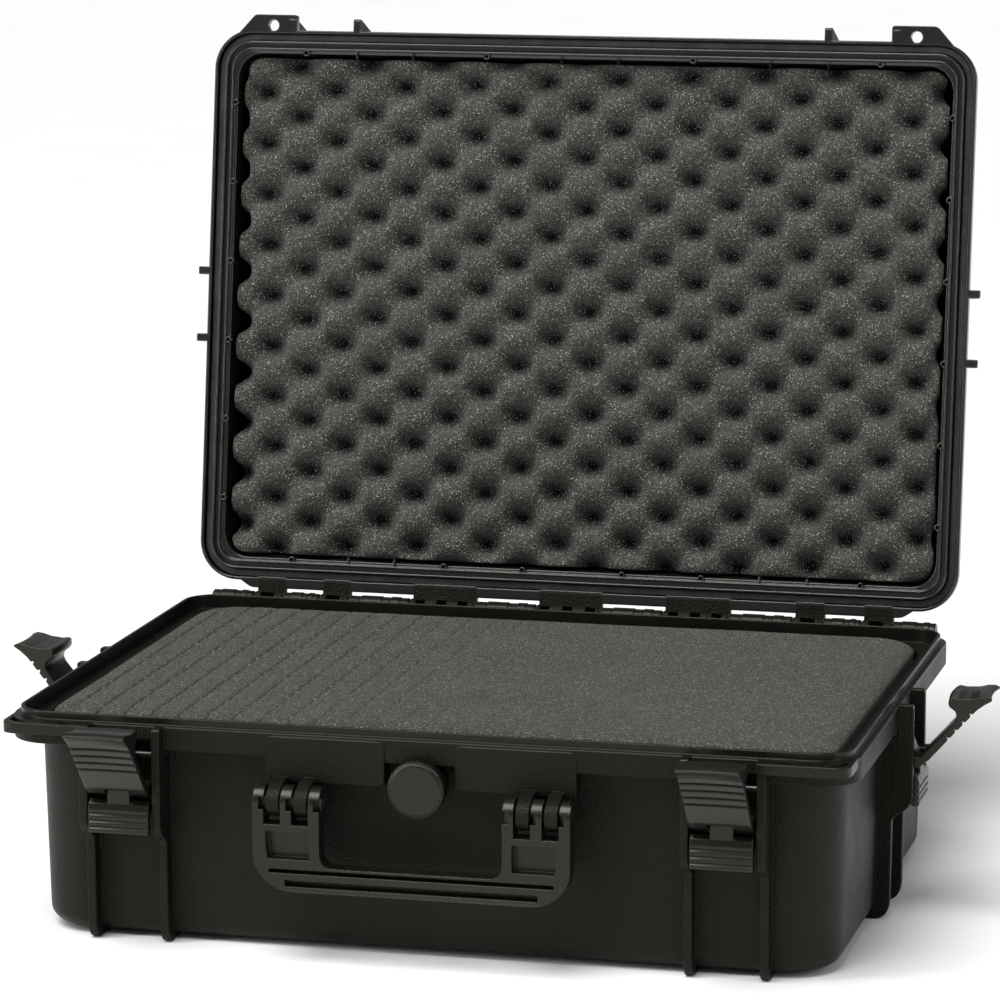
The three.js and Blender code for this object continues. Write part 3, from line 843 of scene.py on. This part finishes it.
def build_lid():
    rows = [
        (ring(CROWN, 12, 197), 0),
        (ring(CROWN, 0, 197), 1.2),
        (ring(CROWN, 0, 195.8), 0.6),
        (ring(WALL, 13, 195.8), 2.5),
        (ring(WALL, 6, 193), 3.5),
        (ring(WALL, 3, 186), 3.5),
        (ring(WALL, 1.6, 166), 6.0),
        (ring(LID_NECK, 0.4, 151), 4.0),
        (ring(LID_NECK, 0, LID_FLANGE_TOP), 1.0),
        (ring(RIM, 0, LID_FLANGE_TOP), 1.2),
        (ring(RIM, 0, PARTING), 0.9),
        (ring(RIM, 2.2, PARTING), 0.5),
        (ring(RIM, 2.2, 143.6), 0.4),
        (ring(RIM, 7.8, 143.6), 0.4),
        (ring(RIM, 7.8, PARTING), 0.6),
        (ring(RIM, 9.4, PARTING), 0.6),
        (ring(RIM, 9.4, 141.2), 0.4),
        (ring(RIM, 12.4, 141.2), 0.4),
        (ring(RIM, 12.4, PARTING + 0.4), 0.5),
        (ring(RIM, 13.9, PARTING + 0.4), 0.6),
        (ring(RIM, 13.9, 141.8), 0.3),
        (ring(LID_MOUTH, 0.6, 142.2), 0.4),
        (ring(LID_MOUTH, 1.0, 150), 3.0),
        (ring(LID_CAVITY, 2.6, 166), 6.0),
        (ring(LID_CAVITY, 4, 184), 3.0),
        (ring(LID_CAVITY, 6.5, 190), 3.0),
        (ring(LID_CAVITY, 11, 193), 2.0),
        (ring(LID_CAVITY, 20, 193), 0),
    ]
    shell = loft("shell", rows)
    for side in (-1, 1):
        fuse(shell, [lid_corner(side)])
    for station in STATIONS:
        fuse(shell, rib_pair(lid_rib, station))
    lip = [(-240, 189), (-229, 196.3), (229, 196.3), (240, 189)]
    fuse(shell, [prism("lip", rounded(lip, 3), PARTING + 0.1, 143.4, 0.8, "Z")])
    fuse(shell, [ring_boss(x, -175.9) for x in (-201, -72.3, 72.3, 201)])
    fuse(shell, [ring_boss(x, 175.9) for x in (-200, -91, -35, 35, 90, 200)])
    for y in (-140.8, -85.8, -30.8, 24.2, 79.2, 134.2):
        fuse(shell, [ring_boss(side * 251, y) for side in (-1, 1)])
    fuse(shell, [mouth_gusset(x, -175.6) for x in (-165, -125, -20, 20, 125, 165)])
    fuse(shell, [mouth_gusset(x, 175.6) for x in (-160, -127, 130, 163)])
    spans = [(-22.1, 22.1)]
    for side in (-1, 1):
        for a, b in ((66, 112), (156, 177), (203, 224)):
            spans.append(mirrored_span(side, a + 0.4, b - 0.4))
    for x0, x1 in spans:
        fuse(shell, knuckle(x0, x1))
    cut(shell, [padlock_hole(side, PARTING - 1, PARTING + 7) for side in (-1, 1)])
    slots = [knuckle_slot(x, 7) for x in (-16, 0, 16)]
    for side in (-1, 1):
        slots += [knuckle_slot(side * x, 7) for x in (74, 89, 104)]
        slots += [knuckle_slot(side * x, 10) for x in (166.5, 213.5)]
    cut(shell, [merge("slots", slots)])
    cut(shell, [bore("X", -260, 260, (0, HINGE_Y, HINGE_Z))])
    drop_crumbs(shell)
    return shell


def build_gasket():
    outer, inner, low, high = 2.7, 7.3, 141.55, 143.4
    rows = [
        (ring(RIM, outer, high), 0.3),
        (ring(RIM, outer, low), 1.0),
        (ring(RIM, (outer + inner) / 2, low - 0.12), 0.8),
        (ring(RIM, inner, low), 1.0),
        (ring(RIM, inner, high), 0.3),
    ]
    return loft("gasket", rows, closed=True)


# ---- latches
def groove(x, z, deep=1.1):
    """Four outline points of a groove across a face at x."""
    return [(x, z + 1.1), (x - deep, z + 0.3), (x - deep * 0.8, z - 0.3), (x, z - 1.1)]


def build_link():
    face = 11.3
    plate = [
        (7, -6.2), (10, -8.4), (face, -12),
        *groove(face, -15), *groove(face, -19.5), *groove(face, -23.5),
        (face, -26.2), (10.3, -27.2), (7, -27.2), (6, -26.2), (6, -15.5), (-1, -10.5), (-1, -6.2),
    ]
    body = prism("link", rounded(plate, 0.5), -LEVER_HALF, LEVER_HALF, 0.45, "Y")
    pin_x, pin_z = LINK_PIN
    arm = [
        (10, -9), (10, 1.5), (6, 6), (3.2, 14), *arc(pin_x, pin_z, 6.3, 0, 180, 16),
        (-6.5, 0), (-4, -8), (2, -12), (8, -12),
    ]
    fuse(body, [prism("arm", arm, -7.15, 7.15, 0.5, "Y")])
    cut(body, [bore("Y", -12, 12, (0, 0, 0)), bore("Y", -12, 12, (pin_x, 0, pin_z))])
    return body


def saddle(body):
    """Hollows the lever's upper half across its width."""
    bm = bmesh.new()
    bm.from_mesh(body.data)
    for k in range(-5, 6):
        geometry = bm.verts[:] + bm.edges[:] + bm.faces[:]
        plane = (0, k * LEVER_HALF / 6, 0)
        bmesh.ops.bisect_plane(bm, geom=geometry, plane_co=plane, plane_no=(0, 1, 0))
    for vertex in bm.verts:
        n, y, t = vertex.co
        rise = min(1.0, max(0.0, (t - 18) / 45))
        vertex.co.x = n - 1.5 * rise * (1 - (y / LEVER_HALF) ** 2)
        vertex.co.z = t - 1.1 * rise * (1 - (y / LEVER_HALF) ** 2)
    bm.to_mesh(body.data)
    bm.free()


def build_lever():
    back = [
        (-3, 3.6), (5.5, 11), (5.5, 42.5), (4.6, 45.8), (1.7, 48.2), (-3.6, 47.8), (-5.5, 49),
        (-7.2, 52), (-6.2, 53.4), (-2.6, 55.7), (0.4, 58.8), (3, 61.3), (6, 65.8), (9.2, 69.1),
        (12.6, 70.2), (13.1, 69.2), (11.6, 64.5), (10.5, 59), (10.3, 56),
    ]
    front = []
    for z in (53.5, 46.4, 39.3, 32.2):
        front += groove(10.4, z, 1.9)
    front += [(10.6, 14), (9.6, 6), (5, -0.8), (1.5, -4.6)]
    body = prism("lever", rounded(back + front, 0.6), -LEVER_HALF, LEVER_HALF, 0.5, "Y")
    saddle(body)
    fuse(body, [rod("Y", 5, -LEVER_HALF + 0.02, LEVER_HALF - 0.02, (0, 0, 0), 0.5, 40)])
    cut(body, [block(-12, 14, -7.8, 7.8, -8, 11.2, 0.8)])
    cut(body, [bore("Y", -LEVER_HALF + 1.2, LEVER_HALF - 1.2, (0, 0, 0))])
    return body


# ---- handle and valve
def build_handle():
    half, bottom, z = HANDLE_HALF, HANDLE_BOTTOM, HANDLE_Z
    top = z + 11
    inner = half - 41.8
    left = [
        (-half, top - 3), (-half, 66),
        *curve((-half, 66), (-half, 54), (12 - half, bottom), (26 - half, bottom), 12),
    ]
    front = left + [(-x, v) for x, v in reversed(left)]
    front += [(half - 3, top), (inner, top), (inner, 68)]
    bend = curve((inner, 68), (inner - 0.4, 62.3), (inner - 3.5, 59.5), (inner - 9.2, 59.5), 8)
    front += bend + [(-x, v) for x, v in reversed(bend)]
    front += [(-inner, 68), (-inner, top), (3 - half, top)]
    body = prism("handle", front, -225, -190, 0, "Y")
    side = [
        (-203, 84), (-203, 61), (-201, 57), (-201, 47), (-204, bottom - 1), (-212.6, bottom - 1),
        (HANDLE_FRONT, 46), (HANDLE_FRONT, z), *arc(HANDLE_Y, z, 10, 180, 0, 20),
    ]
    profile = prism("profile", side, -half - 1, half + 1, 0, "X")
    combine(body, [profile], "INTERSECT")
    tools = []
    for z1, z0, reach in ((58, 55.2, 89), (51.2, 47, 79)):
        slot = rounded([(-reach, z0), (reach, z0), (reach, z1), (-reach, z1)], 1.3)
        tools.append(prism("groove", slot, -216, -208, 0, "Y"))
    for hand in (-1, 1):
        for x in LUG_X:
            middle = hand * x
            tools.append(block(middle - 5.35, middle + 5.35, -230, -190, 85.3, top + 1, 0))
        for x in (91.3, 74, 56.7):
            tools.append(block(*mirrored_span(hand, x, x + 4), -216, -208, z - 3.8, z + 3.8, 0))
        pocket = mirrored([(62.8, 81.4), (90.8, 81.4), (90.8, 72), (89.5, 64), (62.8, 64)], hand)
        tools.append(prism("pocket", rounded(pocket, 1.6), -216, -208, 0, "Y"))
    cut(body, tools)
    soften(body, 0.7, 40)
    for hand in (-1, 1):
        cut(body, [bore("X", *mirrored_span(hand, 55, 97.2), (0, HANDLE_Y, z))])
    return body


def build_valve_cap():
    def knurl(radius, along, angle):
        if radius > 16.5 and along < -193.2:
            return radius - 0.9 * (0.5 + 0.5 * math.cos(angle * 56)) ** 2
        return radius

    dome = [(14.4 * k / 8, -203 + 0.35 * (k / 8) ** 2) for k in range(9)]
    profile = dome + [
        (15.3, -202.6), (15.9, -202.1), (16.6, -201.7), (VALVE_R, -201.3), (VALVE_R, -194),
        (VALVE_R - 0.5, -193.3), (17, -193), (15.2, -193), (15.2, -196.2), (0, -196.2),
    ]
    return turned("cap", profile, "Y", 336, (0, 0, VALVE_Z), knurl)


# ---- foam
def foam_sheet(name, xs, ys, outline, height, base_z, belly, pull=None, taper=0.0):
    """A foam block: a worked face over a rounded rectangle, soft sides, and a flat back at base_z."""
    half_x, half_y, radius = outline
    bm = bmesh.new()

    def settle(x, y):
        cx, cy = half_x - radius, half_y - radius
        dx, dy = abs(x) - cx, abs(y) - cy
        if dx <= 0 or dy <= 0:
            return x, y
        scale = max(dx, dy) / math.hypot(dx, dy)
        return math.copysign(cx + dx * scale, x), math.copysign(cy + dy * scale, y)

    grid = []
    for y in ys:
        row = []
        for x in xs:
            px, py = settle(x, y)
            z = height(px, py)
            if pull:
                px, py = pull(px, py)
            row.append(bm.verts.new((px, py, z)))
        grid.append(row)
    for lower, upper in zip(grid, grid[1:]):
        for i in range(len(lower) - 1):
            bm.faces.new((lower[i], lower[i + 1], upper[i + 1], upper[i]))
    loop = grid[0][:-1] + [row[-1] for row in grid[:-1]] + list(reversed(grid[-1]))[:-1]
    loop += [row[0] for row in reversed(grid)][:-1]
    previous = loop
    steps = 9
    tops = [v.co.copy() for v in loop]
    for k in range(1, steps + 1):
        s = k / steps
        current = []
        for point in tops:
            z = point.z + (base_z - point.z) * s
            pinch = belly * math.sin(math.pi * s) + taper * s
            x = point.x - math.copysign(min(abs(point.x), pinch), point.x) * (abs(point.x) / half_x)
            y = point.y - math.copysign(min(abs(point.y), pinch), point.y) * (abs(point.y) / half_y)
            current.append(bm.verts.new((x, y, z)))
        wrap(bm, previous, current)
        previous = current
    bm.faces.new(previous)
    bmesh.ops.recalc_face_normals(bm, faces=bm.faces)
    return to_object(name, bm)


def edge_distance(x, y, outline):
    half_x, half_y, radius = outline
    dx, dy = abs(x) - (half_x - radius), abs(y) - (half_y - radius)
    if dx > 0 and dy > 0:
        return radius - math.hypot(dx, dy)
    return min(half_x - abs(x), half_y - abs(y))


def edge_drop(x, y, outline, reach):
    """How far a quarter-round edge has fallen at a point, from 0 on the face to 1 at the rim."""
    d = max(0.0, edge_distance(x, y, outline))
    if d >= reach:
        return 0.0
    return 1 - math.sqrt(max(0.0, 1 - (1 - d / reach) ** 2))


def lines(half, pitch, phase, inner, outer):
    """Positions of grid lines: close together beside each slit and at the edges."""
    values = set()
    for d in outer:
        values |= {round(-half + d, 3), round(half - d, 3)}
    k = math.floor((-half - phase) / pitch)
    while phase + k * pitch < half:
        for step in inner:
            value = phase + k * pitch + step
            if -half + outer[-1] + 0.6 < value < half - outer[-1] - 0.6:
                values.add(round(value, 3))
        k += 1
    return sorted(values)


def build_foam_block():
    """The cubed base foam: slits across it, cubes a little uneven, fading towards the right."""
    half_x, half_y, _ = BLOCK_OUTLINE
    rng = random.Random(7)
    heights = {}

    def cube(i, j):
        if (i, j) not in heights:
            heights[(i, j)] = rng.uniform(-0.35, 0.35)
        return heights[(i, j)]

    def height(x, y):
        z = 139.5 - 6.5 * edge_drop(x, y, BLOCK_OUTLINE, 20)
        z -= 0.9 * (0.5 + 0.5 * noise.noise(Vector((x * 0.012, y * 0.012, 3.0))))
        i = math.floor((x + half_x) / SLIT_PITCH)
        j = math.floor((y + half_y) / SLIT_PITCH)
        u = (x + half_x) / SLIT_PITCH - i
        v = (y + half_y) / SLIT_PITCH - j
        fade = min(1.0, max(0.06, 1.1 - (x + half_x) / 260))
        slit = round((x + half_x) / SLIT_PITCH)
        shift = 0.55 * (1 - 2 * v) + 0.25 * cube(slit, j)
        near = (x + half_x) - slit * SLIT_PITCH - shift
        dash = 1 - 0.75 * math.exp(-((min(v, 1 - v) * SLIT_PITCH / 1.2) ** 2))
        z -= fade * dash * (3.0 + 2.0 * cube(slit + 50, j)) * math.exp(-((near / 0.6) ** 2))
        dome = (1 - (2 * u - 1) ** 4) * (1 - (2 * v - 1) ** 4)
        z += fade * (0.2 * dome - 0.2) + 0.6 * fade * cube(i, j) * dome
        return z

    inner = (0.0, 0.55, 1.3, 3.5, 6.5, 11.0, 14.0, 16.2, 16.95)
    outer = (0.0, 0.25, 0.8, 1.7, 3.0, 5.0, 7.5, 10.5)
    xs = lines(half_x, SLIT_PITCH, -half_x, inner, outer)
    ys = lines(half_y, SLIT_PITCH, -half_y, inner, outer)
    return foam_sheet("block", xs, ys, BLOCK_OUTLINE, height, 18.05, 0.8)


def build_foam_pad():
    """The flat pad under the cubed foam."""
    half_x, half_y, _ = PAD_OUTLINE

    def height(x, y):
        z = 17.6 - 0.25 * (1 + noise.noise(Vector((x * 0.02, y * 0.02, 1.0))))
        return z - 4 * edge_drop(x, y, PAD_OUTLINE, 5)

    outer = (0.0, 0.4, 1.2, 2.6, 4.8)
    xs = lines(half_x, 12.0, -half_x, (0.0, 6.0), outer)
    ys = lines(half_y, 12.0, -half_y, (0.0, 6.0), outer)
    return foam_sheet("pad", xs, ys, PAD_OUTLINE, height, 5.4, 0.4)


def build_lid_foam():
    """The egg-crate foam: a slightly turned grid of peaks and hollows."""
    half_x, half_y, _ = LID_FOAM_OUTLINE
    turn = math.radians(-3.2)
    pitch_x, pitch_y = 50.3, 35.3
    at_x, at_y = -232.1, -148.6

    def wave_at(x, y):
        u = (x - at_x) * math.cos(turn) + (y - at_y) * math.sin(turn)
        v = -(x - at_x) * math.sin(turn) + (y - at_y) * math.cos(turn)
        return math.cos(2 * math.pi * u / pitch_x) * math.cos(2 * math.pi * v / pitch_y)

    def height(x, y):
        wave = wave_at(x, y)
        if wave > 0:
            z = 148.3 + 12.5 * wave ** 1.15
        else:
            z = 148.3 - 5.2 * (-wave) ** 0.8
        z += 0.5 * noise.noise(Vector((x * 0.06, y * 0.06, 8.0)))
        z += 0.3 * noise.noise(Vector((x * 0.3, y * 0.3, 4.0)))
        return z + 2.5 * edge_drop(x, y, LID_FOAM_OUTLINE, 5)

    def pull(x, y):
        """Scallops of the left and right edges, where a hollow runs out of the side."""
        near = max(0.0, 1 - (half_x - abs(x)) / 16)
        return x - math.copysign(6.5 * max(0.0, wave_at(x, y) + 0.1) * near ** 2, x), y

    outer = (0.0, 0.5, 1.3, 2.5, 4.2)
    step = tuple(2.1 * k for k in range(6))
    xs = lines(half_x, 12.6, -half_x, step, outer)
    ys = lines(half_y, 12.6, -half_y, step, outer)
    return foam_sheet("egg", xs, ys, LID_FOAM_OUTLINE, height, 192.4, 0.8, pull, 4.5)


# ---- assembly
finish_piece(build_base(), "shell_base_detail", "base", ["base_shell"], SHELL_FINISH,
             rim=(RIM_FINISH, lambda at: at.z > SHELF_TOP + 0.5))
finish_piece(build_lid(), "shell_lid_detail", "lid", ["lid_shell"], SHELL_FINISH, LID_OPEN,
             rim=(LID_RIM_FINISH, lambda at: at.z < LID_FLANGE_TOP - 0.2 and at.y < 198))
finish_piece(build_gasket(), "gasket_bead", "lid", ["lid_gasket"], SEAL_FINISH, LID_OPEN, sharp=60)

for station in STATIONS:
    name = station.name
    turn = Matrix.Rotation(math.radians(station.turn), 4, "Z")
    seat = turn @ Matrix.Translation((station.out, station.along, LATCH_Z))
    lean = -JOINTS["lever_pivot_" + name]["range_deg"][0]
    tilt = seat @ Matrix.Rotation(math.radians(lean), 4, "Y")
    finish_piece(build_link(), "link_detail_" + name, "link_" + name, ["latch_link_" + name],
                 TRIM_FINISH, seat)
    finish_piece(build_lever(), "lever_detail_" + name, "lever_" + name, ["latch_lever_" + name],
                 TRIM_FINISH, tilt)
    finish_piece(pin("Y", -17.8, 17.8, (0, 0, 0)), "lever_pin_detail_" + name, "link_" + name,
                 ["lever_pin_" + name], DARK_STEEL, seat)
    finish_piece(pin("Y", -25.9, 25.9, (LINK_PIN[0], 0, LINK_PIN[1])), "link_pin_detail_" + name, "base",
                 ["link_pin_" + name], DARK_STEEL, seat)

finish_piece(build_handle(), "handle_detail", "carry_handle", ["handle"], TRIM_FINISH)
for word, side in (("left", -1), ("right", 1)):
    handle_pin = pin("X", *mirrored_span(side, 57.3, 96.8), (0, HANDLE_Y, HANDLE_Z))
    hinge_pin = pin("X", *mirrored_span(side, 0.5, HINGE_HALF - 0.5), (0, HINGE_Y, HINGE_Z))
    finish_piece(handle_pin, "handle_pin_detail_" + word, "base", ["handle_pin_" + word],
                 DARK_STEEL)
    finish_piece(hinge_pin, "hinge_pin_detail_" + word, "base", ["hinge_pin_" + word],
                 STEEL_FINISH)

finish_piece(build_valve_cap(), "valve_cap_detail", "valve_knob", ["valve_cap"], TRIM_FINISH,
             sharp=50)
valve_profile = [
    (0, -195.6), (11.9, -195.6), (12.4, -195.1), (12.4, -192.4),
    (7, -192.4), (7, -175), (6.4, -174.4), (0, -174.4),
]
finish_piece(turned("body", valve_profile, "Y", 56, (0, 0, VALVE_Z)), "valve_body_detail", "base",
             ["valve_body"], TRIM_FINISH)
seal_profile = arc(10.1, -191.2, 0.88, 0, 345, 23)
seal_profile.append(seal_profile[0])
finish_piece(turned("seal", seal_profile, "Y", 56, (0, 0, VALVE_Z)), "valve_seal_detail", "base",
             ["valve_seal"], SEAL_FINISH, sharp=0)

BASE_FOAM = open_cell_foam(
    "base_foam", (0.0036, 0.0034, 0.0028), (0.088, 0.0838, 0.069), (0.34, 0.325, 0.275), 1000)
# the lid foam gets painted shade, darkening from its peaks to its hollows along the way the open lid faces
lean = math.radians(-OPEN_ANGLE)
depth_axis = (0.0, -math.sin(lean), math.cos(lean))
hollow_at = (LID_OPEN @ Vector((0, 0, 160.5)) + SHIFT) * MM
peak_at = (LID_OPEN @ Vector((0, 0, 147.5)) + SHIFT) * MM
depths = (depth_axis, Vector(depth_axis).dot(peak_at), Vector(depth_axis).dot(hollow_at))
LID_FOAM = open_cell_foam(
    "lid_foam", (0.006, 0.006, 0.0052), (0.11, 0.109, 0.096), (0.46, 0.45, 0.405), 1200, depths)
finish_piece(build_foam_pad(), "foam_pad_soft", "base", ["base_foam_pad"], BASE_FOAM,
             sharp=0)
finish_piece(build_foam_block(), "foam_block_soft", "base", ["base_foam_block"], BASE_FOAM,
             sharp=0)
finish_piece(build_lid_foam(), "lid_foam_soft", "lid", ["lid_foam"], LID_FOAM, LID_OPEN,
             sharp=0)


# ---- floor, light and camera
def build_floor():
    bm = bmesh.new()
    bmesh.ops.create_circle(bm, cap_ends=True, radius=9, segments=64)
    obj = to_object("floor", bm)
    f = Finish("floor")
    tone = f.mix(f.noise(3, 2), (0.93, 0.93, 0.93), (0.95, 0.95, 0.95))
    roughness = f.span(f.noise(8, 2), 0.3, 0.7, 0.6, 0.7)
    obj.data.materials.append(f.done(tone, roughness, Specular_IOR_Level=0.2))


def add_light(name, kind, power, direction):
    data = bpy.data.lights.new(name, kind)
    data.energy = power
    obj = add_object(name, data)
    obj.rotation_euler = Vector(direction).to_track_quat("-Z", "Y").to_euler()
    return obj


def area_light(name, at, target, size, power):
    obj = add_light(name, "AREA", power, Vector(target) - Vector(at))
    obj.data.shape = "RECTANGLE"
    obj.data.size, obj.data.size_y = size
    obj.location = at


def build_camera():
    """The photograph's viewing angle, distance and lens."""
    azimuth, elevation, roll = math.radians(13.9446), math.radians(10.3161), math.radians(-0.0988)
    back = Vector((
        math.sin(azimuth) * math.cos(elevation),
        -math.cos(azimuth) * math.cos(elevation),
        math.sin(elevation),
    ))
    right = Vector((0, 0, 1)).cross(back).normalized()
    up = back.cross(right)
    turned_right = right * math.cos(roll) + up * math.sin(roll)
    turned_up = up * math.cos(roll) - right * math.sin(roll)
    target = Vector((0.0029, -0.034, 0.25333))
    distance = 3.01104
    data = bpy.data.cameras.new("camera")
    data.sensor_width = 36
    data.lens = 169.78
    data.clip_end = 60
    obj = add_object("camera", data)
    rotation = Matrix((turned_right, turned_up, back)).transposed().to_4x4()
    obj.matrix_world = Matrix.Translation(target + back * distance) @ rotation
    bpy.context.scene.camera = obj


build_floor()
add_light("sun", "SUN", 2.95, (0.18, 0.42, -1.0)).data.angle = math.radians(40)
area_light("left", (-2.0, -1.4, 1.2), (0, 0, 0.3), (0.3, 1.9), 30)
area_light("right", (2.2, -0.9, 1.1), (0, 0, 0.25), (0.25, 1.5), 13)
# the white room lights the case less than the camera sees it
world = bpy.data.worlds.new("studio")
world.use_nodes = True
tree = world.node_tree
background = next(node for node in tree.nodes if node.type == "BACKGROUND")
background.inputs["Color"].default_value = (1, 1, 1, 1)
strength = tree.nodes.new("ShaderNodeMapRange")
strength.inputs["To Min"].default_value = 0.26
strength.inputs["To Max"].default_value = 1.0
tree.links.new(tree.nodes.new("ShaderNodeLightPath").outputs["Is Camera Ray"], strength.inputs["Value"])
tree.links.new(strength.outputs["Result"], background.inputs["Strength"])
bpy.context.scene.world = world
bpy.context.scene.view_settings.view_transform = "Standard"
build_camera()
